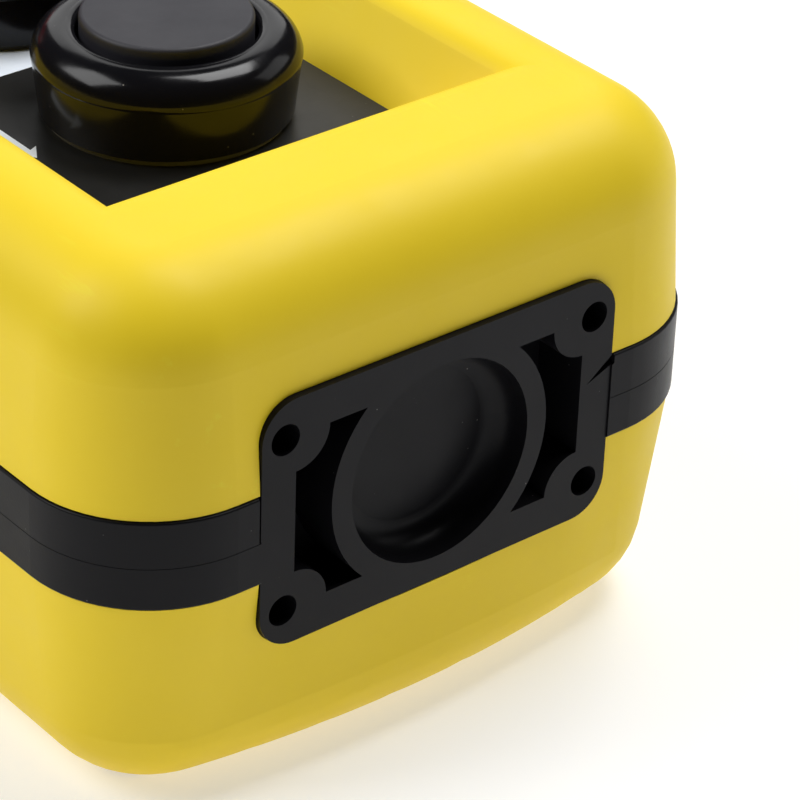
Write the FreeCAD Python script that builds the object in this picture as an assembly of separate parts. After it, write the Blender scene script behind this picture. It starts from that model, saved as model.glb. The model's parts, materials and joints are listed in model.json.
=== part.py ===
import FreeCAD, Part
import math
import os

# A hand-held pendant control station for a hoist, lying on its back.
# Millimetres. +Z points out of the button face, +Y runs along the case to the
# cable entry, X is across it. The origin is under the middle of the whole
# station, on the surface that it lies on.

# ---- Case ----
CASE_HALF_X = 42.7          # yellow shells at the band, where they are widest
PLATE_SPAN = 170.0          # between the outer faces of the two end plates
END_SET = 0.1               # how far the shells' ends lie behind the end plates
CASE_HEIGHT = 65.0
CASE_CORNER = 15.2          # corner radius seen from the front
FRONT_SLOPE = 0.066         # draft of the front shell's sides
REAR_SLOPE = 0.086
REAR_END_SWELL = 2.8        # how much less the rear shell's ends are drafted, at their middle
REAR_END_RADIUS = 115.0    # the rear shell's ends bulge to this radius at the bottom
FRONT_ROUND = 11.0          # rounding round the front face
REAR_ROUND = 10.6
WALL = 3.0
SEAM = 0.15                 # gap between each shell and the middle frame

# ---- Middle frame ----
PLATE_Z = 34.5              # height of the end plates' centre
BAND_BELOW = 6.0            # band, measured from the plate centre
BAND_ABOVE = 4.8
BAND_PROUD = 0.3
BAND_THICK = 3.6
PART_LINE = -0.8            # moulding line round the band, from the plate centre
PLATE_HALF_X = 24.4
PLATE_HALF_Z = 15.3
PLATE_CORNER = 4.6
PLATE_DEPTH = 9.5
RING_OUTER = 15.0           # round rib that carries the cable opening
RING_INNER = 12.3
KNOCKOUT_DEPTH = 4.6
KNOCKOUT_FILLET = 2.9
OPEN_ENTRY_R = 11.0         # cable opening in the upper plate
POCKET_HALF_X = 19.9
POCKET_HALF_Z = 10.7
POCKET_DEPTH = 7.0
PLATE_HOLE_X = 21.35
PLATE_HOLE_Z = 10.7
PLATE_HOLE_R = 1.85
PLATE_HOLE_DEPTH = 8.0
BOSS_R = 4.4                # quarter-round bosses in the pockets' corners
TAPPED_HOLE_R = 1.6         # in the upper plate, where the flange's screws have cut their thread
FLANGE_HOLE_R = 2.1

# ---- Button recess and label ----
LABEL_RISE = 21.8           # plate centre to the top of the label
LABEL_THICK = 0.5
LABEL_HALF_X = 20.3
LABEL_TO_PLATE = 31.1       # label's end to the end plate's face
RECESS_HALF_X = 27.75       # mouth of the recess
RECESS_TO_PLATE = 22.6
RECESS_ROUND = 4.2
SEAL_WIDTH = 1.6
SEAL_SINK = 0.8             # how deep the seal sits in each part

# ---- Operators; their levels are measured from the top of the label ----
FIRST_BUTTON = 50.05        # end plate to the first button's centre
PITCH = 35.0
HOLE_R = 11.15              # panel hole for the threaded barrel
BARREL_R = 11.0
BARREL_BORE = 8.6
BARREL_END = -15.2
SHELF_TOP = -5.2            # inner shelf that the return spring stands on
SHELF_BOTTOM = -7.2
STEM_R = 4.0
STEM_BORE = 4.05
STEM_END = -10.7            # where the stem meets the contact plunger
SKIRT_END = 0.6             # lower edge of a cap's skirt or the head's neck
RING_LOW = 1.0              # rubber ring in the skirt
RING_HIGH = 2.6
POCKET_TOP = 4.8            # what the return spring pushes up on
POCKET_R = 6.9
GASKET_THICK = 0.8
COLLAR_BASE_R = 14.6
COLLAR_R = 15.4             # widest part of a push-button's collar
COLLAR_TOP = 10.7
COLLAR_MOUTH = 10.3
CAP_R = 9.9
CAP_TOP = 12.2
BUTTON_TRAVEL = 4.0
HEAD_R = 16.0               # emergency stop mushroom
HEAD_BOTTOM = 11.3
HEAD_TOP = 22.8
STEM_TOP = 14.8             # upper end of the stem, inside the head
ESTOP_COLLAR_TOP = 4.8
FREE_GAP = 0.3              # air between parts that move against each other

# ---- Contact blocks, measured from the top of the label ----
BLOCK_HALF_X = 15.0
BLOCK_HALF_Y = 12.0
BLOCK_BOTTOM = -49.2
BLOCK_TOP = -16.7
SOCKET_TOP = -11.2          # rim of the socket that grips the barrel
ROOM_TOP = -20.2
STRIP_Z = -33.2             # underside of the fixed contact strips
STRIP_THICK = 0.8
TIP = 0.6                   # height of a contact tip
PLUNGER_FOOT = -37.2
TERMINAL_X = 12.2

# ---- Fasteners ----
CASE_SCREW_X = 30.5
CASE_SCREW_Y = 70.0
CASE_SCREW_R = 2.0
CASE_SCREW_SINK = 8.0       # depth of the head's well in the rear shell
CASE_SCREW_REACH = 52.5     # height of the screw's tip
SCREW_SLIP = 0.05           # gap between a screw and the wall round it

# ---- Cable inlet ----
FLANGE_GASKET = 1.0
FLANGE_THICK = 3.5
GLAND_BASE = 5.0            # hexagon moulded on the flange
GLAND_ACROSS = 26.0
GLAND_THREAD_R = 10.5
GLAND_THREAD = 11.0
GLAND_BORE = 6.5
GLAND_REACH = 29.0          # end plate's face to the nut's outer end

CASE_HALF_Y = PLATE_SPAN / 2 - END_SET
BAND_HALF_Y = CASE_HALF_Y + BAND_PROUD
BODY_Y = (BAND_HALF_Y - PLATE_SPAN / 2 - GLAND_REACH) / 2
BAND_BOTTOM = PLATE_Z - BAND_BELOW
BAND_TOP = PLATE_Z + BAND_ABOVE
LABEL_Z = PLATE_Z + LABEL_RISE
PANEL_TOP = LABEL_Z - LABEL_THICK
PANEL_BOTTOM = PANEL_TOP - WALL
LABEL_HALF_Y = PLATE_SPAN / 2 - LABEL_TO_PLATE
RECESS_HALF_Y = PLATE_SPAN / 2 - RECESS_TO_PLATE
FIRST_Y = BODY_Y - PLATE_SPAN / 2 + FIRST_BUTTON
CASE_SCREWS = [(sx * CASE_SCREW_X, sy * CASE_SCREW_Y) for sx in (-1, 1) for sy in (-1, 0, 1)]
PLATE_HOLES = [(sx * PLATE_HOLE_X, sz * PLATE_HOLE_Z) for sx in (-1, 1) for sz in (-1, 1)]


# ---- Shape helpers ----

def vec(x, y, z):
    return FreeCAD.Vector(x, y, z)


def moved(shape, x=0.0, y=0.0, z=0.0):
    """A copy of the shape, shifted."""
    copy = shape.copy()
    copy.translate(vec(x, y, z))
    return copy


def turned_about(shape, axis, degrees):
    """A copy of the shape, turned about an axis through the origin."""
    copy = shape.copy()
    copy.rotate(vec(0, 0, 0), axis, degrees)
    return copy


def along_y(shape):
    """Turns a shape built along +Z so that it runs along +Y."""
    return turned_about(shape, vec(1, 0, 0), -90)


def rounded_rect(half_x, half_y, radius, z=0.0, end_radius=None):
    """Closed wire in a level plane: a rectangle with round corners, its two ends straight or bulging."""
    corner_y = half_y - radius
    turn = 0.0
    if end_radius:
        turn = math.asin((half_x - radius) / (end_radius - radius))
        corner_y = half_y - end_radius + (end_radius - radius) * math.cos(turn)

    def corner(sign_x, sign_y):
        """Three points of a corner's arc, from the side to the end."""
        centre = vec(sign_x * (half_x - radius), sign_y * corner_y, z)
        sweep = math.pi / 2 - turn
        angles = (0, sweep / 2, sweep)
        return [centre + vec(sign_x * radius * math.cos(a), sign_y * radius * math.sin(a), 0) for a in angles]

    edges = []
    for side in (1, -1):
        first, second = corner(side, side), corner(-side, side)[::-1]
        edges.append(Part.Arc(*first).toShape())
        if end_radius:
            edges.append(Part.Arc(first[2], vec(0, side * half_y, z), second[0]).toShape())
        else:
            edges.append(Part.LineSegment(first[2], second[0]).toShape())
        edges.append(Part.Arc(*second).toShape())
        edges.append(Part.LineSegment(second[2], corner(-side, -side)[0]).toShape())
    return Part.Wire(edges)


def slab(half_x, half_y, radius, z0, z1):
    """Upright prism with round corners."""
    return Part.Face(rounded_rect(half_x, half_y, radius, z0)).extrude(vec(0, 0, z1 - z0))


def plate_slab(half_x, half_z, radius, y0, y1):
    """Prism along Y with round corners, centred on the end plates' axis."""
    return along_y(slab(half_x, half_z, radius, y0, y1))


def box(x0, x1, y0, y1, z0, z1):
    return Part.makeBox(x1 - x0, y1 - y0, z1 - z0, vec(x0, y0, z0))


def rod(radius, z0, z1, x=0.0, y=0.0):
    return Part.makeCylinder(radius, z1 - z0, vec(x, y, z0))


def tube(outer, inner, z0, z1, x=0.0, y=0.0):
    return rod(outer, z0, z1, x, y).cut(rod(inner, z0, z1, x, y))


def drafted(half_x, half_y, radius, z_wide, z_far, slope, swell=0.0, end_radius=None):
    """Block with round corners that narrows evenly from one level to another, its ends bulging at the far one."""
    inset = slope * abs(z_far - z_wide)
    wide = rounded_rect(half_x, half_y, radius, z_wide)
    far = rounded_rect(half_x - inset, half_y - inset + swell, radius - inset, z_far, end_radius)
    return Part.makeLoft([wide, far], True, True)


def edges_at(shape, z):
    """Edges that lie in one level plane."""
    return [e for e in shape.Edges if abs(e.BoundBox.ZMin - z) < 1e-4 and abs(e.BoundBox.ZMax - z) < 1e-4]


def turned(*steps):
    """Solid of revolution about Z. A step is a corner (r, z), or a point on an arc and the arc's end."""
    points = [step if not isinstance(step[0], tuple) else step[1] for step in steps]
    edges = []
    for i, step in enumerate(steps):
        start = vec(points[i - 1][0], 0, points[i - 1][1])
        end = vec(points[i][0], 0, points[i][1])
        if isinstance(step[0], tuple):
            middle = vec(step[0][0], 0, step[0][1])
            edges.append(Part.Arc(start, middle, end).toShape())
        else:
            edges.append(Part.LineSegment(start, end).toShape())
    face = Part.Face(Part.Wire(Part.__sortEdges__(edges)))
    return face.revolve(vec(0, 0, 0), vec(0, 0, 1), 360)


def crown(radius, rise, top):
    """Point halfway along the arc of a shallow dome, from its rim to its top on the axis."""
    sphere = (radius ** 2 + rise ** 2) / (2 * rise)
    half = math.asin(radius / sphere) / 2
    return sphere * math.sin(half), top - sphere * (1 - math.cos(half))


def hexagon(across, z0, z1, chamfer):
    """Hexagonal nut blank with chamfered corners on its upper end."""
    corner = across / math.sqrt(3)
    points = [vec(corner * math.cos(math.radians(60 * i)), corner * math.sin(math.radians(60 * i)), z0)
              for i in range(7)]
    blank = Part.Face(Part.makePolygon(points)).extrude(vec(0, 0, z1 - z0))
    trim = turned((0, z0), (corner, z0), (corner, z1 - chamfer), (corner - 2 * chamfer, z1), (0, z1))
    return blank.common(trim)


def screw(head_r, head_h, shank_r, length):
    """Cross-head screw pointing down, with the underside of its head at zero."""
    head = rod(head_r, 0, head_h)
    head = head.makeFillet(0.45 * head_h, edges_at(head, head_h))
    arm = 0.6 * head_r
    slot = 0.22 * head_r
    cross = box(-arm, arm, -slot, slot, 0.4 * head_h, head_h)
    cross = cross.fuse(box(-slot, slot, -arm, arm, 0.4 * head_h, head_h))
    tip = Part.makeCone(0.4 * shank_r, shank_r, shank_r, vec(0, 0, -length))
    shank = rod(shank_r, shank_r - length, 0)
    return head.cut(cross).fuse([shank, tip]).removeSplitter()


def coil(radius, wire_r, turns, z0, z1):
    """Compression spring between two levels, its wire made of short straight steps with mitred joints."""
    steps = 24 * turns
    rise = z1 - z0 - 2 * wire_r
    points = []
    for i in range(steps + 1):
        angle = 2 * math.pi * turns * i / steps
        points.append(vec(radius * math.cos(angle), radius * math.sin(angle), z0 + wire_r + rise * i / steps))
    section = Part.Wire(Part.makeCircle(wire_r, points[0], points[1] - points[0]))
    mitred = 1
    return Part.makePolygon(points).makePipeShell([section], True, False, mitred)


# ---- Case ----

def seal_loop(level, side):
    """Rubber seal between the band and one shell; side is 1 for the front, -1 for the rear."""
    outside = 1.0
    inside = outside + SEAL_WIDTH
    z0, z1 = sorted((level - side * SEAL_SINK, level + side * (SEAM + SEAL_SINK)))
    loop = slab(CASE_HALF_X - outside, CASE_HALF_Y - outside, CASE_CORNER - outside, z0, z1)
    loop = loop.cut(slab(CASE_HALF_X - inside, CASE_HALF_Y - inside, CASE_CORNER - inside, z0, z1))
    arch_far = 200.0
    reach = box(-arch_far, arch_far, -arch_far, arch_far, *sorted((z0 if side > 0 else z1, side * arch_far)))
    for end in (-1, 1):
        y0, y1 = sorted((end * (CASE_HALF_Y - inside), end * (CASE_HALF_Y - outside)))
        window = moved(plate_slab(PLATE_HALF_X, PLATE_HALF_Z, PLATE_CORNER, y0, y1), z=PLATE_Z)
        wide = plate_slab(PLATE_HALF_X + 0.9, PLATE_HALF_Z + 0.9, PLATE_CORNER + 0.9, y0, y1)
        arch = moved(wide, z=PLATE_Z).common(reach)
        loop = loop.fuse(arch).cut(window)
    return loop.removeSplitter()


def plate_notches():
    """Openings in the shells' end walls for the two end plates."""
    slip = 0.1
    cuts = []
    for y0, y1 in ((-CASE_HALF_Y - 5, -CASE_HALF_Y + 12), (CASE_HALF_Y - 12, CASE_HALF_Y + 5)):
        cut = plate_slab(PLATE_HALF_X + slip, PLATE_HALF_Z + slip, PLATE_CORNER + slip, y0, y1)
        cuts.append(moved(cut, z=PLATE_Z))
    return cuts


def trough(half_low, half_mouth, length, inset):
    """Straight-sided groove along Y with sloping walls that roll over into the top of the front shell."""
    low, high = PANEL_TOP - inset, CASE_HEIGHT - inset
    radius = RECESS_ROUND - inset
    over = 2.0
    lean = math.atan2(half_mouth - half_low, CASE_HEIGHT - PANEL_TOP)
    tangent = radius / math.tan((math.pi / 2 + lean) / 2)
    edge = vec(half_mouth + inset, 0, high)
    foot = vec(half_low + inset, 0, low)
    start = edge - vec(math.sin(lean), 0, math.cos(lean)) * tangent
    end = edge + vec(tangent, 0, 0)
    centre = end - vec(0, 0, radius)
    middle = centre + (edge - centre).normalize() * radius
    top = end + vec(0, 0, over)

    def left(point):
        return vec(-point.x, point.y, point.z)

    outline = [Part.makeLine(foot, start), Part.Arc(start, middle, end).toShape(), Part.makeLine(end, top),
               Part.makeLine(top, left(top)), Part.makeLine(left(top), left(end)),
               Part.Arc(left(end), left(middle), left(start)).toShape(), Part.makeLine(left(start), left(foot)),
               Part.makeLine(left(foot), foot)]
    return moved(Part.Face(Part.Wire(outline)).extrude(vec(0, 2 * length, 0)), y=-length)


def recess(inset=0.0):
    """The hollow round the buttons, with sharp corners. inset draws it that far into the shell's wall."""
    edge = 0.1
    across = trough(LABEL_HALF_X + edge, RECESS_HALF_X, CASE_HALF_Y, inset)
    along = trough(LABEL_HALF_Y + edge, RECESS_HALF_Y, CASE_HALF_Y, inset)
    return across.common(turned_about(along, vec(0, 0, 1), 90))


def front_shell(seal):
    low = BAND_TOP + SEAM
    outer = drafted(CASE_HALF_X, CASE_HALF_Y, CASE_CORNER, low, CASE_HEIGHT, FRONT_SLOPE)
    outer = outer.makeFillet(FRONT_ROUND, edges_at(outer, CASE_HEIGHT))
    outer = outer.cut(recess())
    ceiling = CASE_HEIGHT - WALL
    hollow = drafted(CASE_HALF_X - WALL, CASE_HALF_Y - WALL, CASE_CORNER - WALL, low, ceiling, FRONT_SLOPE)
    hollow = hollow.makeFillet(FRONT_ROUND - WALL, edges_at(hollow, ceiling))
    hollow = hollow.cut(recess(WALL))
    boss_r = 4.4
    for x, y in CASE_SCREWS:
        hollow = hollow.cut(rod(boss_r, low, CASE_HEIGHT, x, y))
    shell = outer.cut(hollow)
    for x, y in CASE_SCREWS:
        shell = shell.cut(rod(CASE_SCREW_R + SCREW_SLIP, low, CASE_SCREW_REACH + 0.6, x, y))
    for i in range(3):
        shell = shell.cut(rod(HOLE_R, PANEL_BOTTOM - 1, PANEL_TOP + 1, 0, FIRST_Y - BODY_Y + i * PITCH))
    return shell.cut(plate_notches() + [seal]).removeSplitter()


def rear_shell(seal):
    high = BAND_BOTTOM - SEAM
    outer = drafted(CASE_HALF_X, CASE_HALF_Y, CASE_CORNER, high, 0, REAR_SLOPE, REAR_END_SWELL, REAR_END_RADIUS)
    outer = outer.makeFillet(REAR_ROUND, edges_at(outer, 0))
    hollow = drafted(CASE_HALF_X - WALL, CASE_HALF_Y - WALL, CASE_CORNER - WALL, high, WALL, REAR_SLOPE,
                     REAR_END_SWELL, REAR_END_RADIUS - WALL)
    hollow = hollow.makeFillet(REAR_ROUND - WALL, edges_at(hollow, WALL))
    boss_r = 6.2
    well_r = 4.0
    for x, y in CASE_SCREWS:
        hollow = hollow.cut(rod(boss_r, 0, high, x, y))
    shell = outer.cut(hollow)
    for x, y in CASE_SCREWS:
        shell = shell.cut([rod(well_r, -1, CASE_SCREW_SINK, x, y),
                           rod(CASE_SCREW_R + SCREW_SLIP, 0, high, x, y)])
    return shell.cut(plate_notches() + [seal]).removeSplitter()


def end_plate():
    """Blank of an end plate that faces -Y, its outer face in the plane y = 0 and its centre at the origin."""
    return plate_slab(PLATE_HALF_X, PLATE_HALF_Z, PLATE_CORNER, 0, PLATE_DEPTH)


def plate_cuts(open_centre):
    """What is cut from an end plate: side pockets, screw holes, and the cable opening or its blind knock-out."""
    hole_r = TAPPED_HOLE_R if open_centre else PLATE_HOLE_R
    pockets = plate_slab(POCKET_HALF_X, POCKET_HALF_Z, 0.4, 0, POCKET_DEPTH)
    pockets = pockets.cut(along_y(rod(RING_OUTER, 0, POCKET_DEPTH)))
    for x in (-POCKET_HALF_X, POCKET_HALF_X):
        for z in (-POCKET_HALF_Z, POCKET_HALF_Z):
            pockets = pockets.cut(along_y(rod(BOSS_R, 0, POCKET_DEPTH, x, z)))
    holes = [along_y(rod(hole_r, 0, PLATE_HOLE_DEPTH, x, z)) for x, z in PLATE_HOLES]
    if open_centre:
        centre = rod(OPEN_ENTRY_R, 0, PLATE_DEPTH)
    else:
        centre = rod(RING_INNER, 0, KNOCKOUT_DEPTH)
        centre = centre.makeFillet(KNOCKOUT_FILLET, edges_at(centre, KNOCKOUT_DEPTH))
    return [pockets, along_y(centre)] + holes


def band_details():
    """Cuts beside the bottom plate: a slot on one side and a wedge on the other, above the moulding line."""
    high = BAND_ABOVE + 0.5
    depth = 1.0
    width = 0.35
    slot = box(-PLATE_HALF_X - width, -PLATE_HALF_X, -depth, depth, PART_LINE, high)
    corners = [(PLATE_HALF_X + 0.3, BAND_ABOVE + 0.2), (PLATE_HALF_X + 0.3, BAND_ABOVE - 1.1),
               (PLATE_HALF_X - 3.6, BAND_ABOVE - 2.7)]
    outline = [vec(x, -depth, z) for x, z in corners + corners[:1]]
    wedge = Part.Face(Part.makePolygon(outline)).extrude(vec(0, depth + 0.6, 0))
    return [moved(cut, y=-PLATE_SPAN / 2, z=PLATE_Z) for cut in (slot, wedge)]


def mid_frame(seals):
    half_x = CASE_HALF_X + BAND_PROUD
    corner = CASE_CORNER + BAND_PROUD
    band = slab(half_x, BAND_HALF_Y, corner, BAND_BOTTOM, BAND_TOP)
    band = band.makeFillet(0.25, edges_at(band, BAND_BOTTOM) + edges_at(band, BAND_TOP))
    inner = slab(half_x - BAND_THICK, BAND_HALF_Y - BAND_THICK, corner - BAND_THICK, BAND_BOTTOM, BAND_TOP)
    lug_r = 6.4
    for x, y in CASE_SCREWS:
        inner = inner.cut(rod(lug_r, BAND_BOTTOM, BAND_TOP, x, y))
    line = 0.05
    mould = slab(half_x + 1, BAND_HALF_Y + 1, corner + 1, -line, line)
    mould = mould.cut(slab(half_x - line, BAND_HALF_Y - line, corner - line, -line, line))
    frame = band.cut([inner, moved(mould, z=PLATE_Z + PART_LINE)])
    for x, y in CASE_SCREWS:
        frame = frame.cut(rod(CASE_SCREW_R + SCREW_SLIP, BAND_BOTTOM, BAND_TOP, x, y))
    for end in (-1, 1):
        y0, y1 = sorted((end * PLATE_SPAN / 2, end * (PLATE_SPAN / 2 + 5)))
        frame = frame.cut(box(-PLATE_HALF_X, PLATE_HALF_X, y0, y1, BAND_BOTTOM, BAND_TOP))
        facing = 0 if end < 0 else 180
        blank, *cuts = [moved(turned_about(shape, vec(0, 0, 1), facing), y=end * PLATE_SPAN / 2, z=PLATE_Z)
                        for shape in [end_plate()] + plate_cuts(open_centre=end > 0)]
        frame = frame.fuse(blank).cut(cuts)
    return frame.cut(seals + band_details()).removeSplitter()


def label_plate():
    sheet = slab(LABEL_HALF_X, LABEL_HALF_Y, 0.3, PANEL_TOP, LABEL_Z)
    return sheet.cut([rod(HOLE_R, PANEL_TOP, LABEL_Z, 0, FIRST_Y - BODY_Y + i * PITCH) for i in range(3)])


def case_screws():
    one = screw(3.5, 2.6, CASE_SCREW_R, CASE_SCREW_REACH - CASE_SCREW_SINK)
    one = turned_about(one, vec(1, 0, 0), 180)
    return Part.makeCompound([moved(one, x, y, CASE_SCREW_SINK) for x, y in CASE_SCREWS])


# ---- Operators ----

def barrel():
    """Threaded barrel under a collar, with the shelf that the spring stands on."""
    body = rod(BARREL_R, BARREL_END, GASKET_THICK)
    return body.cut([rod(BARREL_BORE, SHELF_TOP, GASKET_THICK), rod(STEM_BORE, SHELF_BOTTOM, SHELF_TOP),
                     rod(BARREL_BORE, BARREL_END, SHELF_BOTTOM)])


def button_collar():
    """Glossy collar that narrows to its base and rolls over at the top."""
    step = 2.8
    side_r = COLLAR_R - 0.1
    collar = turned((BARREL_BORE, GASKET_THICK), (COLLAR_BASE_R, GASKET_THICK), (side_r, 7.0),
                    ((COLLAR_R, 7.5), (side_r, 8.0)), ((14.3, 9.7), (11.4, COLLAR_TOP)),
                    ((10.6, COLLAR_TOP - 0.2), (COLLAR_MOUTH, COLLAR_TOP - 0.8)), (COLLAR_MOUTH, step),
                    (BARREL_BORE, step))
    return collar.fuse(barrel()).removeSplitter()


def estop_collar():
    """Low collar under the emergency stop head."""
    top = ESTOP_COLLAR_TOP
    collar = turned((BARREL_BORE, GASKET_THICK), (COLLAR_BASE_R, GASKET_THICK), (COLLAR_BASE_R, top - 1.6),
                    ((COLLAR_BASE_R - 0.5, top - 0.5), (COLLAR_BASE_R - 1.6, top)), (BARREL_BORE, top))
    return collar.fuse(barrel()).removeSplitter()


def lock_nut():
    thick = 5.0
    seat = -LABEL_THICK - WALL
    blank = turned_about(hexagon(27.0, 0, thick, 0.8), vec(1, 0, 0), 180)
    return moved(blank, z=seat).cut(rod(BARREL_R + SCREW_SLIP, seat - thick, seat))


def quad_groove():
    """The ring-shaped groove in a cap or neck, which the rubber ring fills."""
    return tube(BARREL_BORE - SCREW_SLIP, 7.4, RING_LOW, RING_HIGH)


def button_cap():
    """Flat-topped cap with a hollow skirt and a stem, in one piece."""
    skirt_r = BARREL_BORE - 0.1
    under = 7.4
    cap = turned((0, STEM_END), (STEM_R, STEM_END), (STEM_R, POCKET_TOP), (POCKET_R, POCKET_TOP),
                 (POCKET_R, SKIRT_END), (skirt_r, SKIRT_END), (skirt_r, under), (CAP_R, under),
                 (CAP_R, CAP_TOP - 0.5), ((CAP_R - 0.15, CAP_TOP - 0.15), (CAP_R - 0.5, CAP_TOP)), (0, CAP_TOP))
    return cap.cut([quad_groove(), clip_groove()])


def estop_stem():
    """Sliding stem of the emergency stop, with a flange that the spring pushes up."""
    flange_r = POCKET_R - 0.5
    flange_top = POCKET_TOP + 1.6
    stem = turned((0, STEM_END), (STEM_R, STEM_END), (STEM_R, POCKET_TOP), (flange_r, POCKET_TOP),
                  (flange_r, flange_top), (STEM_R, flange_top), (STEM_R, STEM_TOP), (0, STEM_TOP))
    return stem.cut(clip_groove())


def estop_head():
    """Red mushroom on a round neck, with finger grips round its rim. It turns on the stem."""
    neck_r = BARREL_BORE - 0.1
    crown_r = HEAD_R - 6.5
    crown_rise = 0.5
    shoulder = HEAD_TOP - 5.2
    hole_top = STEM_TOP + FREE_GAP
    pocket_top = POCKET_TOP + 2.0
    head = turned((STEM_BORE, pocket_top), (POCKET_R, pocket_top), (POCKET_R, SKIRT_END), (neck_r, SKIRT_END),
                  (neck_r, HEAD_BOTTOM), (HEAD_R - 1.6, HEAD_BOTTOM),
                  ((HEAD_R - 0.4, HEAD_BOTTOM + 0.5), (HEAD_R, HEAD_BOTTOM + 1.8)), (HEAD_R, shoulder),
                  ((HEAD_R - 2.2, HEAD_TOP - 2.0), (crown_r, HEAD_TOP - crown_rise)),
                  (crown(crown_r, crown_rise, HEAD_TOP), (0, HEAD_TOP)), (0, hole_top), (STEM_BORE, hole_top))
    grip_count = 18
    notch = rod(0.9, HEAD_BOTTOM - 1, shoulder - 0.4, HEAD_R + 0.35, 0)
    grips = [turned_about(notch, vec(0, 0, 1), i * 360 / grip_count) for i in range(grip_count)]
    return head.cut(grips + [quad_groove()])


def clip_groove():
    top = SHELF_BOTTOM - FREE_GAP
    return tube(STEM_R, 3.2, top - 0.8, top)


def retainer_clip():
    """Open spring clip in the stem's groove, which stops the stem from pulling out."""
    top = SHELF_BOTTOM - FREE_GAP
    clip = tube(6.2, 3.2, top - 0.8, top)
    return clip.cut(box(0, 7, -1.6, 1.6, top - 0.8, top))


def contact_block(closed_at_rest):
    """Moulded block clipped on the barrel's end, with rooms for the contacts and terminals."""
    block = box(-BLOCK_HALF_X, BLOCK_HALF_X, -BLOCK_HALF_Y, BLOCK_HALF_Y, BLOCK_BOTTOM, BLOCK_TOP)
    upright = [e for e in block.Edges if e.BoundBox.ZLength > BLOCK_TOP - BLOCK_BOTTOM - 1]
    block = block.makeFillet(1.5, upright)
    block = block.fuse(rod(13.4, BLOCK_TOP, SOCKET_TOP))
    strip_top = STRIP_Z + STRIP_THICK
    wide, narrow, deep = 8.0, 4.6, 5.0
    floor = BLOCK_BOTTOM + 2.0
    low_half, high_half = (wide, narrow) if closed_at_rest else (narrow, wide)
    middle = strip_top if closed_at_rest else STRIP_Z
    rooms = [box(-low_half, low_half, -deep, deep, floor, middle),
             box(-high_half, high_half, -deep, deep, middle, ROOM_TOP),
             rod(3.1, ROOM_TOP, BLOCK_TOP), rod(BARREL_R + SCREW_SLIP, BLOCK_TOP, SOCKET_TOP)]
    for side in (-1, 1):
        x0, x1 = sorted((side * 9.5, side * BLOCK_HALF_X))
        rooms.append(box(x0, x1, -4, 4, BLOCK_BOTTOM, strip_top))
        x0, x1 = sorted((side * 5.0, side * 9.5))
        rooms.append(box(x0, x1, -3, 3, STRIP_Z, strip_top))
        rooms.append(rod(1.5 + SCREW_SLIP, strip_top, strip_top + 5.2, side * TERMINAL_X, 0))
    return block.cut(rooms).removeSplitter()


def fixed_contacts(closed_at_rest):
    """The two contact strips, each with a tip inside and a screw hole outside."""
    strips = []
    strip_top = STRIP_Z + STRIP_THICK
    for side in (-1, 1):
        x0, x1 = sorted((side * 5.0, side * 14.6))
        strip = box(x0, x1, -3, 3, STRIP_Z, strip_top)
        tip_z = STRIP_Z - TIP if closed_at_rest else strip_top
        strip = strip.fuse(rod(1.3, tip_z, tip_z + TIP, side * 6.4, 0))
        strips.append(strip.cut(rod(1.5 + SCREW_SLIP, STRIP_Z, strip_top, side * TERMINAL_X, 0)).removeSplitter())
    return Part.makeCompound(strips)


def bridge_level(closed_at_rest):
    """Underside of the moving bridge. It clears the fixed tips by the free gap at its nearest."""
    if closed_at_rest:
        return STRIP_Z - 2 * TIP - FREE_GAP - 0.8
    return STRIP_Z + STRIP_THICK + 2 * TIP + FREE_GAP + BUTTON_TRAVEL


def contact_bridge(closed_at_rest):
    """Brass bar that joins the two fixed contacts, with a tip at each end."""
    z = bridge_level(closed_at_rest)
    bar = box(-7.5, 7.5, -2.0, 2.0, z, z + 0.8)
    tip_z = z + 0.8 if closed_at_rest else z - TIP
    return bar.fuse([rod(1.3, tip_z, tip_z + TIP, x, 0) for x in (-6.1, 6.1)]).removeSplitter()


def contact_plunger(closed_at_rest):
    """Rod that the stem pushes down, with a slot for the bridge and a nose for the spring."""
    plunger = rod(3.0, PLUNGER_FOOT, STEM_END).fuse(rod(1.4, PLUNGER_FOOT - 4.0, PLUNGER_FOOT))
    z = bridge_level(closed_at_rest)
    return plunger.cut(box(-3.5, 3.5, -2.0, 2.0, z, z + 0.8)).removeSplitter()


def terminal_screws():
    """Two clamp screws with square washers, heads down, open to the back of the case."""
    screws = []
    for side in (-1, 1):
        one = turned_about(screw(2.5, 1.8, 1.5, 6.2), vec(1, 0, 0), 180)
        clamp = box(-2.6, 2.6, -3.0, 3.0, 0, 0.8)
        one = moved(one.fuse(clamp), side * TERMINAL_X, 0, STRIP_Z - 0.8)
        screws.append(one.removeSplitter())
    return Part.makeCompound(screws)


def operator(name, closed_at_rest):
    """All nodes of one operator, on the Z axis with the label's top at zero."""
    estop = name == "estop"
    nodes = {
        "collar": estop_collar() if estop else button_collar(),
        "panel_gasket": tube(14.0, HOLE_R, 0, GASKET_THICK),
        "lock_nut": lock_nut(),
        "quad_ring": quad_groove(),
        "retainer_clip": retainer_clip(),
        "return_spring": coil(5.5, 0.45, 4, SHELF_TOP, POCKET_TOP),
        "contact_block": contact_block(closed_at_rest),
        "fixed_contacts": fixed_contacts(closed_at_rest),
        "terminal_screws": terminal_screws(),
        "contact_bridge": contact_bridge(closed_at_rest),
        "plunger": contact_plunger(closed_at_rest),
        "contact_spring": coil(2.2, 0.3, 6, BLOCK_BOTTOM + 2.0, PLUNGER_FOOT),
    }
    if estop:
        nodes["stem"] = estop_stem()
        nodes["head"] = estop_head()
    else:
        nodes["cap"] = button_cap()
    return {f"{name}_{part}": shape for part, shape in nodes.items()}


# ---- Cable inlet, built along +Z from the face of the top end plate ----

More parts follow.
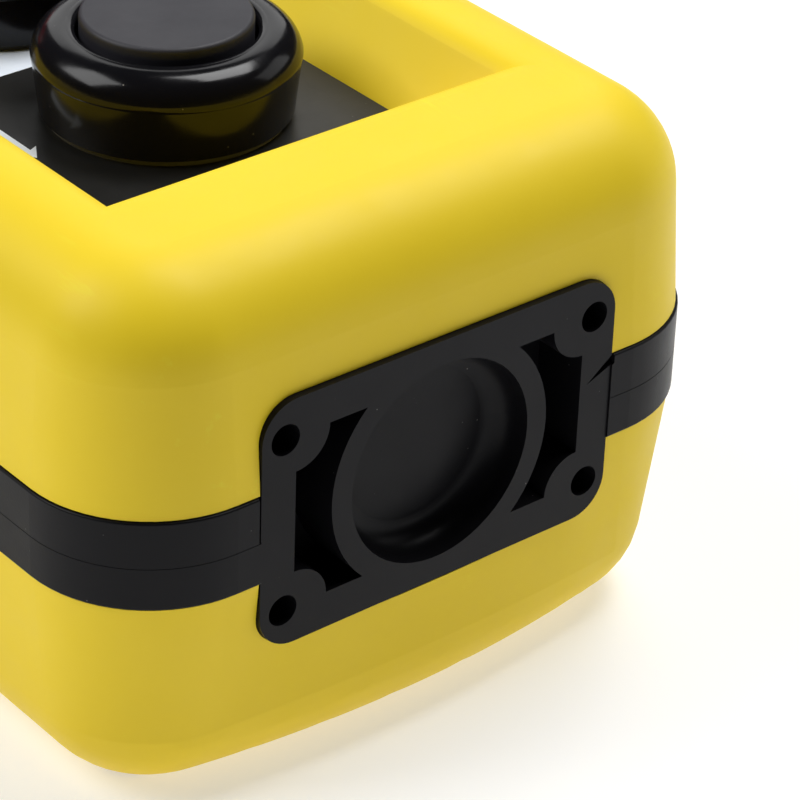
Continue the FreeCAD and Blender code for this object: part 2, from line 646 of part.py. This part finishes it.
def flange_outline(z0, z1):
    return slab(PLATE_HALF_X, PLATE_HALF_Z, PLATE_CORNER, z0, z1)


def flange_gasket():
    sheet = flange_outline(0, FLANGE_GASKET)
    return sheet.cut([rod(10.0, 0, FLANGE_GASKET)] + [rod(2.2, 0, FLANGE_GASKET, x, z) for x, z in PLATE_HOLES])


def entry_flange():
    top = FLANGE_GASKET + FLANGE_THICK
    mouth = top + GLAND_BASE + GLAND_THREAD
    flange = flange_outline(FLANGE_GASKET, top)
    flange = flange.makeFillet(0.6, edges_at(flange, top))
    flange = flange.fuse([hexagon(GLAND_ACROSS, top, top + GLAND_BASE, 0.8), rod(GLAND_THREAD_R, top, mouth)])
    cuts = [rod(7.5, FLANGE_GASKET, mouth - 7.0), rod(9.0, mouth - 7.0, mouth)]
    cuts += [rod(FLANGE_HOLE_R, FLANGE_GASKET, top, x, z) for x, z in PLATE_HOLES]
    return flange.cut(cuts).removeSplitter()


def gland_seal():
    """Rubber sleeve in the mouth of the gland, with an open bore for the cable."""
    mouth = FLANGE_GASKET + FLANGE_THICK + GLAND_BASE + GLAND_THREAD
    return turned((6.0, mouth - 7.0), (9.0, mouth - 7.0), (9.0, mouth), (8.4, mouth + 1.0), (6.0, mouth + 1.0))


def gland_nut():
    base = FLANGE_GASKET + FLANGE_THICK + GLAND_BASE + 1.0
    mouth = FLANGE_GASKET + FLANGE_THICK + GLAND_BASE + GLAND_THREAD
    shoulder = base + 10.0
    body = hexagon(GLAND_ACROSS, base, shoulder, 0.8)
    dome = turned((0, shoulder - 0.5), (12.4, shoulder - 0.5), (12.4, shoulder + 0.6),
                  ((11.4, GLAND_REACH - 2.0), (8.6, GLAND_REACH)), (0, GLAND_REACH))
    throat = turned((0, mouth), (GLAND_THREAD_R + SCREW_SLIP, mouth), (8.4, mouth + 1.0), (GLAND_BORE, mouth + 1.0),
                    (GLAND_BORE, GLAND_REACH), (0, GLAND_REACH))
    return body.fuse(dome).cut([rod(GLAND_THREAD_R + SCREW_SLIP, base, mouth), throat]).removeSplitter()


def flange_screws():
    top = FLANGE_GASKET + FLANGE_THICK
    one = screw(3.2, 2.3, TAPPED_HOLE_R - SCREW_SLIP, 11.0)
    return Part.makeCompound([moved(one, x, z, top) for x, z in PLATE_HOLES])


def inlet():
    nodes = {
        "flange_gasket": flange_gasket(),
        "entry_flange": entry_flange(),
        "gland_seal": gland_seal(),
        "gland_nut": gland_nut(),
        "flange_screws": flange_screws(),
    }
    return {name: moved(along_y(shape), y=PLATE_SPAN / 2, z=PLATE_Z) for name, shape in nodes.items()}


# ---- Assembly ----

def station():
    """Every node in its place."""
    front_seal = seal_loop(BAND_TOP, 1)
    rear_seal = seal_loop(BAND_BOTTOM, -1)
    case = {
        "front_shell": front_shell(front_seal),
        "rear_shell": rear_shell(rear_seal),
        "mid_frame": mid_frame([front_seal, rear_seal]),
        "front_seal": front_seal,
        "rear_seal": rear_seal,
        "label_plate": label_plate(),
        "case_screws": case_screws(),
    }
    case.update(inlet())
    nodes = {name: moved(shape, y=BODY_Y) for name, shape in case.items()}
    for i, name in enumerate(("down", "up", "estop")):
        for node, shape in operator(name, name == "estop").items():
            nodes[node] = moved(shape, y=FIRST_Y + i * PITCH, z=LABEL_Z)
    return nodes


def main():
    os.makedirs("parts", exist_ok=True)
    low, high = [1e9] * 3, [-1e9] * 3
    for name, shape in station().items():
        shape.exportStep(os.path.join("parts", name + ".step"))
        b = shape.BoundBox
        low = [min(a, c) for a, c in zip(low, (b.XMin, b.YMin, b.ZMin))]
        high = [max(a, c) for a, c in zip(high, (b.XMax, b.YMax, b.ZMax))]
        good = "ok" if shape.isValid() else "NOT VALID"
        print(f"{name:24s} {len(shape.Solids)} solids {shape.Volume:10.1f} mm3 {good}")
    print("box", [round(v, 2) for v in low], [round(v, 2) for v in high])


main()
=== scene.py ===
import json
import math

import bmesh
import bpy
from mathutils import Euler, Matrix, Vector


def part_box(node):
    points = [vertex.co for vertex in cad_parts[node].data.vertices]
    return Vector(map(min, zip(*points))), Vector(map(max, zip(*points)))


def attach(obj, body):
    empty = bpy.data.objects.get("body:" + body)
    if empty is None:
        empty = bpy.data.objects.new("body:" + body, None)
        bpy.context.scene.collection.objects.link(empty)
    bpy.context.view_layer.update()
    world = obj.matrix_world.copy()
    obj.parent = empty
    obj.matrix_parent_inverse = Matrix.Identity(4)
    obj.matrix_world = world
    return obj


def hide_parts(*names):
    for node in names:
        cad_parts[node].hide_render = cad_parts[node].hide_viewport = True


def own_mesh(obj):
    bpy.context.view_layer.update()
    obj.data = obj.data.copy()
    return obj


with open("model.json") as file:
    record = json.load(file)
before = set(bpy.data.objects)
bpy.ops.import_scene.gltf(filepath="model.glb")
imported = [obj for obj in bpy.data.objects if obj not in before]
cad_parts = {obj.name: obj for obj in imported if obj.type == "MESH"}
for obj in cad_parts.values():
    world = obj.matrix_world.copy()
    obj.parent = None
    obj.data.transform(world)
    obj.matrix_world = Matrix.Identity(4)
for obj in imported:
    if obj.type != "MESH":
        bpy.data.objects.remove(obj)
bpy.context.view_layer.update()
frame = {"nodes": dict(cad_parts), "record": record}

# The looks of a hand-held pendant control station that lies on its back, in metres.
# The CAD solids stay as they are and get materials. The label's print and the arrows
# on the emergency stop head are added here as thin pieces. The springs are wound
# again with round wire.

MM = 0.001
NODES = frame["nodes"]
RECORD = frame["record"]
MOUNTS = {mount["name"]: mount for mount in RECORD["mounts"]}
PLATE = Vector(MOUNTS["lower_plate_screws"]["pos_m"])      # middle of the lower end plate


# ---- Materials ----

class Look:
    """One procedural material: a Principled shader and the textures that drive it."""

    def __init__(self, name, **sockets):
        self.material = bpy.data.materials.new(name)
        self.material.use_nodes = True
        self.tree = self.material.node_tree
        self.shader = self.tree.nodes["Principled BSDF"]
        self.relief = None
        for socket, value in sockets.items():
            self.shader.inputs[socket.replace("_", " ")].default_value = value
        self.place = self.add("ShaderNodeTexCoord").outputs["Object"]

    def add(self, kind, **inputs):
        """A node whose sockets are set from numbers, or linked if given another node's output."""
        node = self.tree.nodes.new(kind)
        for socket, value in inputs.items():
            self.feed(node.inputs[socket.replace("_", " ")], value)
        return node

    def feed(self, socket, value):
        if isinstance(value, bpy.types.NodeSocket):
            self.tree.links.new(value, socket)
        else:
            socket.default_value = value

    def noise(self, size, detail=3.0, rough=0.5, stretch=(1, 1, 1)):
        """Noise with features about this many metres across, 0 to 1."""
        scaled = self.add("ShaderNodeMapping", Vector=self.place, Scale=[s / size for s in stretch])
        node = self.add("ShaderNodeTexNoise", Vector=scaled.outputs["Vector"], Scale=1.0, Detail=detail,
                        Roughness=rough)
        return node.outputs["Fac"]

    def cells(self, size):
        """Distance to the nearest of random points about this many metres apart."""
        scaled = self.add("ShaderNodeMapping", Vector=self.place, Scale=[1 / size] * 3)
        return self.add("ShaderNodeTexVoronoi", Vector=scaled.outputs["Vector"], Scale=1.0).outputs["Distance"]

    def span(self, value, low, high, to_low=0.0, to_high=1.0):
        """Maps low..high to to_low..to_high, and holds the ends."""
        node = self.add("ShaderNodeMapRange", Value=value)
        node.inputs["From Min"].default_value = low
        node.inputs["From Max"].default_value = high
        node.inputs["To Min"].default_value = to_low
        node.inputs["To Max"].default_value = to_high
        return node.outputs["Result"]

    def math(self, operation, a, b):
        node = self.tree.nodes.new("ShaderNodeMath")
        node.operation = operation
        self.feed(node.inputs[0], a)
        self.feed(node.inputs[1], b)
        return node.outputs["Value"]

    def mix(self, share, a, b):
        """Colour a where share is 0, b where it is 1."""
        node = self.tree.nodes.new("ShaderNodeMix")
        node.data_type = "RGBA"
        self.feed(node.inputs["Factor"], share)
        for socket, value in ((node.inputs[6], a), (node.inputs[7], b)):
            self.feed(socket, value if isinstance(value, bpy.types.NodeSocket) else (*value, 1.0))
        return node.outputs[2]

    def bump(self, height, depth):
        """Adds relief this many metres deep."""
        node = self.add("ShaderNodeBump", Height=height, Strength=1.0, Distance=depth)
        if self.relief:
            self.feed(node.inputs["Normal"], self.relief)
        self.relief = node.outputs["Normal"]

    def done(self, colour, roughness):
        self.feed(self.shader.inputs["Base Color"], colour)
        self.feed(self.shader.inputs["Roughness"], roughness)
        if self.relief:
            self.feed(self.shader.inputs["Normal"], self.relief)
        return self.material


# Sizes of what moulded plastic shows, and how much it changes the roughness.
TONE_SIZE = 30 * MM                                # slow change of colour
WAVE_SIZE, WAVE_DEPTH = 9 * MM, 0.05 * MM          # unevenness of a moulded face
SHEEN_SIZE, SHEEN_CHANGE = 6 * MM, 0.05
STREAK_SIZE, PATCH_SIZE, RUBBED_ROUGHER = 2.2 * MM, 22 * MM, 0.12
STREAK_STRETCH = (1.0, 0.12, 1.0)                  # streaks are longest along the case
SPECK_GAP, DUSTY_SIZE, DUST_ROUGHER = 1.9 * MM, 7 * MM, 0.3
DUST_COLOUR = (0.55, 0.53, 0.50)


def moulded(name, colour, shade, roughness, grain=0.35 * MM, grain_depth=0.006 * MM, dust=0.0, scuff=0.0,
            **sockets):
    """Moulded plastic: drifting tone, fine grain, faint rubbed streaks, and grains of dust."""
    look = Look(name, **sockets)
    tint = look.mix(look.span(look.noise(TONE_SIZE, 4.0), 0.3, 0.7), colour, shade)
    look.bump(look.noise(grain, 2.0), grain_depth)
    look.bump(look.noise(WAVE_SIZE, 1.0), WAVE_DEPTH)
    drift = look.span(look.noise(SHEEN_SIZE, 5.0, 0.6), 0.3, 0.7, -SHEEN_CHANGE, SHEEN_CHANGE)
    rough = look.math("ADD", drift, roughness)
    if scuff:
        streaks = look.span(look.noise(STREAK_SIZE, 5.0, 0.65, stretch=STREAK_STRETCH), 0.60, 0.72)
        patches = look.span(look.noise(PATCH_SIZE, 2.0), 0.52, 0.68)
        rubbed = look.math("MULTIPLY", streaks, patches)
        paler = [min(1.0, 1.25 * c + 0.05) for c in colour]
        tint = look.mix(look.math("MULTIPLY", rubbed, scuff), tint, paler)
        rough = look.math("ADD", rough, look.math("MULTIPLY", rubbed, RUBBED_ROUGHER))
    if dust:
        specks = look.span(look.cells(SPECK_GAP), 0.025, 0.055, 1.0, 0.0)
        dusty = look.span(look.noise(DUSTY_SIZE, 2.0), 0.50, 0.62)
        lying = look.math("MULTIPLY", specks, dusty)
        tint = look.mix(look.math("MULTIPLY", lying, dust), tint, DUST_COLOUR)
        rough = look.math("ADD", rough, look.math("MULTIPLY", lying, DUST_ROUGHER))
    return look.done(tint, rough)


def printed(name, colour, shade):
    """Screen ink: nearly even, with a fine mesh of dots in its sheen."""
    look = Look(name)
    tint = look.mix(look.span(look.noise(3 * MM, 4.0), 0.3, 0.7), colour, shade)
    look.bump(look.noise(0.25 * MM, 1.0), 0.003 * MM)
    return look.done(tint, look.span(look.noise(1.5 * MM, 3.0), 0.3, 0.7, 0.36, 0.50))


def plated(name, colour, shade, roughness, stretch=(1, 1, 1)):
    """Bright metal with a cloudy plated skin and fine drawn or turned marks."""
    look = Look(name, Metallic=1.0)
    tint = look.mix(look.span(look.noise(2.5 * MM, 5.0, 0.6), 0.3, 0.7), colour, shade)
    marks = look.noise(0.3 * MM, 4.0, 0.6, stretch=stretch)
    look.bump(marks, 0.004 * MM)
    return look.done(tint, look.span(marks, 0.3, 0.7, roughness - 0.08, roughness + 0.10))


LOOKS = {
    "yellow_shell": moulded("yellow_shell", (0.95, 0.700, 0.022), (0.92, 0.670, 0.018), 0.50, grain=0.5 * MM,
                            grain_depth=0.004 * MM, scuff=0.35, Specular_IOR_Level=0.28),
    "black_frame": moulded("black_frame", (0.0055, 0.0053, 0.0066), (0.0075, 0.0072, 0.0088), 0.36, dust=0.6,
                           scuff=0.06, Specular_IOR_Level=0.12),
    "label_print": moulded("label_film", (0.0060, 0.0060, 0.0060), (0.0085, 0.0082, 0.0075), 0.42,
                           grain=0.22 * MM, grain_depth=0.008 * MM, dust=0.25, Specular_IOR_Level=0.40),
    "collar_gloss": moulded("collar_gloss", (0.0045, 0.0045, 0.0055), (0.0065, 0.006, 0.008), 0.17,
                            grain=1.6 * MM, grain_depth=0.007 * MM, dust=0.5, Specular_IOR_Level=0.26),
    "cap_matte": moulded("cap_matte", (0.018, 0.017, 0.023), (0.022, 0.021, 0.028), 0.55, grain=0.16 * MM,
                         grain_depth=0.012 * MM, dust=0.2),
    "estop_red": moulded("estop_red", (0.56, 0.010, 0.006), (0.48, 0.008, 0.006), 0.24, grain=0.6 * MM,
                         grain_depth=0.003 * MM, scuff=0.15, dust=0.1, Coat_Weight=0.3, Coat_Roughness=0.12),
    "seal_rubber": moulded("seal_rubber", (0.016, 0.016, 0.016), (0.026, 0.025, 0.024), 0.72, grain=0.2 * MM,
                           grain_depth=0.015 * MM, dust=0.4, Sheen_Weight=0.15),
    "inner_plastic": moulded("inner_plastic", (0.52, 0.51, 0.47), (0.46, 0.45, 0.41), 0.46, scuff=0.2),
    "contact_brass": plated("contact_brass", (0.80, 0.56, 0.22), (0.68, 0.45, 0.17), 0.26, stretch=(1, 0.1, 1)),
    "zinc_steel": plated("zinc_steel", (0.66, 0.67, 0.69), (0.55, 0.56, 0.60), 0.30),
    "spring_steel": plated("spring_steel", (0.50, 0.49, 0.48), (0.40, 0.40, 0.40), 0.26, stretch=(1, 1, 0.2)),
}
WHITE_INK = printed("white_ink", (0.80, 0.86, 0.94), (0.74, 0.80, 0.89))
BLACK_INK = printed("black_ink", (0.012, 0.012, 0.012), (0.018, 0.018, 0.017))
YELLOW_INK = printed("yellow_ink", (0.86, 0.62, 0.02), (0.82, 0.58, 0.02))

for part in RECORD["subparts"]:
    mesh = NODES[part["node"]].data
    mesh.materials.clear()
    mesh.materials.append(LOOKS[part["material_slot"]])


# ---- Print on the label and on the emergency stop head ----

INK = 0.04 * MM              # thickness of the print
PRINT_GAP = 0.1 * MM         # round what stands on the label
PRINT_MARGIN = 0.15 * MM     # between the print and the label's edge
PRINT_CORNER = 0.4 * MM
STOP_RING_R = 19.3 * MM
ARROW_LENGTH = 11 * MM
ARROW_SHAFT = 0.42 * MM      # half its width
ARROW_INSET = 1.55 * MM      # from the label's edge to the arrows' middle

label_low, label_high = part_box("label_plate")
LABEL_TOP = label_high.z


def add_piece(name, mesh, material, body):
    """Puts a new piece in the scene, riding on a body."""
    mesh.materials.append(material)
    piece = bpy.data.objects.new(name, mesh)
    bpy.context.scene.collection.objects.link(piece)
    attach(piece, body)
    return piece


def button(name):
    """Middle of an operator on the label's top face, and the radius of what stands on the label there."""
    low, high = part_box(f"{name}_panel_gasket")
    return Vector(((low.x + high.x) / 2, (low.y + high.y) / 2, LABEL_TOP)), (high.x - low.x) / 2


def as_mesh(name, shape):
    """The mesh of a bmesh, with its faces turned outwards."""
    bmesh.ops.recalc_face_normals(shape, faces=shape.faces)
    mesh = bpy.data.meshes.new(name)
    shape.to_mesh(mesh)
    shape.free()
    return mesh


def circle(centre, radius, count=96):
    return [(centre.x + radius * math.cos(2 * math.pi * i / count),
             centre.y + radius * math.sin(2 * math.pi * i / count)) for i in range(count)]


def round_box(x0, x1, y0, y1, radius, steps=6):
    """Corner points of a rectangle with round corners."""
    points = []
    for cx, cy, start in ((x1 - radius, y1 - radius, 0), (x0 + radius, y1 - radius, 90),
                          (x0 + radius, y0 + radius, 180), (x1 - radius, y0 + radius, 270)):
        for i in range(steps + 1):
            angle = math.radians(start + 90 * i / steps)
            points.append((cx + radius * math.cos(angle), cy + radius * math.sin(angle)))
    return points


def film(name, outline, holes, ink, body, surface=None):
    """Thin flat piece with the given outline and holes. surface gives the height under each point."""
    shape = bmesh.new()
    edges = []
    for loop in [outline] + holes:
        verts = [shape.verts.new((x, y, 0)) for x, y in loop]
        edges += [shape.edges.new((verts[i - 1], verts[i])) for i in range(len(verts))]
    bmesh.ops.triangle_fill(shape, edges=edges, use_beauty=True)
    top = bmesh.ops.extrude_face_region(shape, geom=list(shape.faces))
    raised = {v for v in top["geom"] if isinstance(v, bmesh.types.BMVert)}
    for v in shape.verts:
        ground = surface(v.co.x, v.co.y) if surface else LABEL_TOP
        v.co.z = ground + (INK if v in raised else 0.0)
    add_piece(name, as_mesh(name, shape), ink, body)


def arrow(tip_x, tip_y, half_head, heading):
    """Straight arrow along Y with swept barbs; heading is -1 towards the plate, 1 away from it."""
    head = 1.6 * half_head
    outline = [(0, 0), (half_head, head), (ARROW_SHAFT, 0.8 * head), (ARROW_SHAFT, ARROW_LENGTH)]
    outline += [(-x, y) for x, y in outline[:0:-1]]
    return [(tip_x + x, tip_y - heading * y) for x, y in outline]


down, _ = button("down")
up, up_radius = button("up")
stop, stop_radius = button("estop")
half_pitch = (up.y - down.y) / 2

up_field = round_box(label_low.x + PRINT_MARGIN, label_high.x - PRINT_MARGIN, up.y - half_pitch,
                     up.y + half_pitch, PRINT_CORNER)
film("print_up_block", up_field, [circle(up, up_radius + PRINT_GAP)], WHITE_INK, "housing")
film("print_stop_ring", circle(stop, STOP_RING_R), [circle(stop, stop_radius + PRINT_GAP)], YELLOW_INK,
     "housing")
arrow_x = label_low.x + ARROW_INSET
film("print_down_arrow", arrow(arrow_x, down.y - 1.4 * MM, 1.5 * MM, -1), [], WHITE_INK, "housing")
film("print_up_arrow", arrow(arrow_x, up.y + 5.5 * MM, 1.3 * MM, 1), [], BLACK_INK, "housing",
     lambda x, y: LABEL_TOP + INK)

_, head_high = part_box("estop_head")
DOME_R, DOME_RISE = 9.5 * MM, 0.5 * MM       # of the head's slightly domed top
TURN_R = 6.9 * MM                            # middle line of the three bent arrows
TURN_SHAFT = 0.55 * MM                       # half the width of their line
TURN_START, TURN_SWEEP, TURN_TIP = 100, 62, 20       # degrees: first arrow's tail, its line, its head
dome_ball = (DOME_R ** 2 + DOME_RISE ** 2) / (2 * DOME_RISE)


def dome(x, y):
    """Height of the emergency stop head's top."""
    reach = math.hypot(x - stop.x, y - stop.y)
    return head_high.z - dome_ball + math.sqrt(dome_ball ** 2 - reach ** 2)


def turn_arrow(start, steps=14):
    """Outline of an arrow bent round the head's middle."""
    angles = [math.radians(start - TURN_SWEEP * i / steps) for i in range(steps + 1)]
    tip = math.radians(start - TURN_SWEEP - TURN_TIP)
    barb = 2.4 * TURN_SHAFT
    ring = [(TURN_R + TURN_SHAFT, a) for a in angles]
    ring += [(TURN_R + barb, angles[-1]), (TURN_R, tip), (TURN_R - barb, angles[-1])]
    ring += [(TURN_R - TURN_SHAFT, a) for a in reversed(angles)]
    return [(stop.x + r * math.cos(a), stop.y + r * math.sin(a)) for r, a in ring]


for index in range(3):
    film(f"stop_arrow_{index + 1}", turn_arrow(TURN_START - 120 * index), [], WHITE_INK, "estop_knob",
         dome)


# ---- Springs, wound again with round wire ----

WIRE_SIDES = 12
STEPS_PER_TURN = 32
CLOSER = 0.5             # how much closer the turns lie at both ends
COILS = {"return_spring": (4, 0.45 * MM), "contact_spring": (6, 0.30 * MM)}      # turns, wire radius


def coil_mesh(name, centre, radius, wire, turns, bottom, top):
    """Smooth round wire wound between two levels, closed at both ends."""
    count = turns * STEPS_PER_TURN
    rise = top - bottom - 2 * wire
    shape = bmesh.new()
    rings = []
    for i in range(count + 1):
        share = i / count
        angle = 2 * math.pi * turns * share
        out = Vector((math.cos(angle), math.sin(angle), 0))
        level = share - CLOSER * math.sin(2 * math.pi * share) / (2 * math.pi)
        slope = rise * (1 - CLOSER * math.cos(2 * math.pi * share)) / (2 * math.pi * turns)
        along = Vector((-radius * math.sin(angle), radius * math.cos(angle), slope)).normalized()
        middle = Vector((centre.x, centre.y, bottom + wire + rise * level)) + radius * out
        side = along.cross(out)
        sides = [2 * math.pi * j / WIRE_SIDES for j in range(WIRE_SIDES)]
        rings.append([shape.verts.new(middle + wire * (math.cos(a) * out + math.sin(a) * side)) for a in sides])
    for ring, after in zip(rings, rings[1:]):
        for j in range(WIRE_SIDES):
            k = (j + 1) % WIRE_SIDES
            shape.faces.new((ring[j], ring[k], after[k], after[j]))
    shape.faces.new(rings[0])
    shape.faces.new(rings[-1])
    mesh = as_mesh(name, shape)
    mesh.shade_smooth()
    return mesh


def spring(node):
    """Coil in place of a CAD spring."""
    low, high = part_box(node)
    turns, wire = next(size for kind, size in COILS.items() if node.endswith(kind))
    centre = (low + high) / 2
    name = f"{node}_coil"
    mesh = coil_mesh(name, centre, (high.x - low.x) / 2 - wire, wire, turns, low.z, high.z)
    piece = add_piece(name, mesh, LOOKS["spring_steel"], "housing")
    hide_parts(node)
    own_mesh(piece)


for joint in RECORD["behaviour"]["joints"]:
    for entry in joint.get("deforming_nodes", []):
        spring(entry["node"])


# ---- Floor, light and camera ----

REACH = 4.0                  # half the floor's side
FLOOR_GAP = 0.02 * MM        # keeps the floor off the case's flat back
FLOOR_GLOW = 0.46
CAMERA_FROM_PLATE = Vector((-0.21675, -0.24793, 0.21057))
CAMERA_TURN = (58.329, -1.866, -39.197)              # degrees
SENSOR_WIDTH, FOCAL_LENGTH = 36.0, 163.1             # millimetres

floor_mesh = bpy.data.meshes.new("floor")
floor_mesh.from_pydata([(-REACH, -REACH, 0), (REACH, -REACH, 0), (REACH, REACH, 0), (-REACH, REACH, 0)], [],
                       [(0, 1, 2, 3)])
paper = Look("floor_paper", Emission_Color=(1.0, 1.0, 1.0, 1.0), Emission_Strength=FLOOR_GLOW)
floor_mesh.materials.append(paper.done(
    paper.mix(paper.noise(60 * MM, 3.0), (0.66, 0.66, 0.66), (0.64, 0.64, 0.64)), 0.85))
floor = bpy.data.objects.new("floor", floor_mesh)
floor.location.z = -FLOOR_GAP
bpy.context.scene.collection.objects.link(floor)

world = bpy.data.worlds.new("studio")
bpy.context.scene.world = world
world.use_nodes = True
world.node_tree.nodes["Background"].inputs["Color"].default_value = (1.0, 1.0, 1.0, 1.0)
world.node_tree.nodes["Background"].inputs["Strength"].default_value = 0.01


def softbox(name, place, width, height, watts):
    """Rectangular light at a place given from the down button, facing it."""
    light = bpy.data.lights.new(name, "AREA")
    light.shape = "RECTANGLE"
    light.size, light.size_y = width, height
    light.energy = watts
    lamp = bpy.data.objects.new(name, light)
    lamp.location = down + Vector(place)
    lamp.rotation_euler = (-Vector(place)).to_track_quat("-Z", "Y").to_euler()
    bpy.context.scene.collection.objects.link(lamp)


softbox("left_box", (-0.60, 0.40, 0.72), 0.62, 0.62, 6.7)
softbox("right_box", (0.44, 0.02, 0.90), 0.56, 0.48, 8.15)
softbox("back_box", (0.53, 0.73, 0.43), 0.80, 0.50, 1.6)
softbox("front_box", (0.85, -0.28, 0.38), 0.60, 0.40, 0.75)

camera_data = bpy.data.cameras.new("camera")
camera_data.sensor_width = SENSOR_WIDTH
camera_data.lens = FOCAL_LENGTH
camera_data.clip_start = 0.01
camera = bpy.data.objects.new("camera", camera_data)
camera.location = PLATE + CAMERA_FROM_PLATE
camera.rotation_euler = Euler([math.radians(a) for a in CAMERA_TURN])
bpy.context.scene.collection.objects.link(camera)
bpy.context.scene.camera = camera
bpy.context.scene.view_settings.view_transform = "Standard"
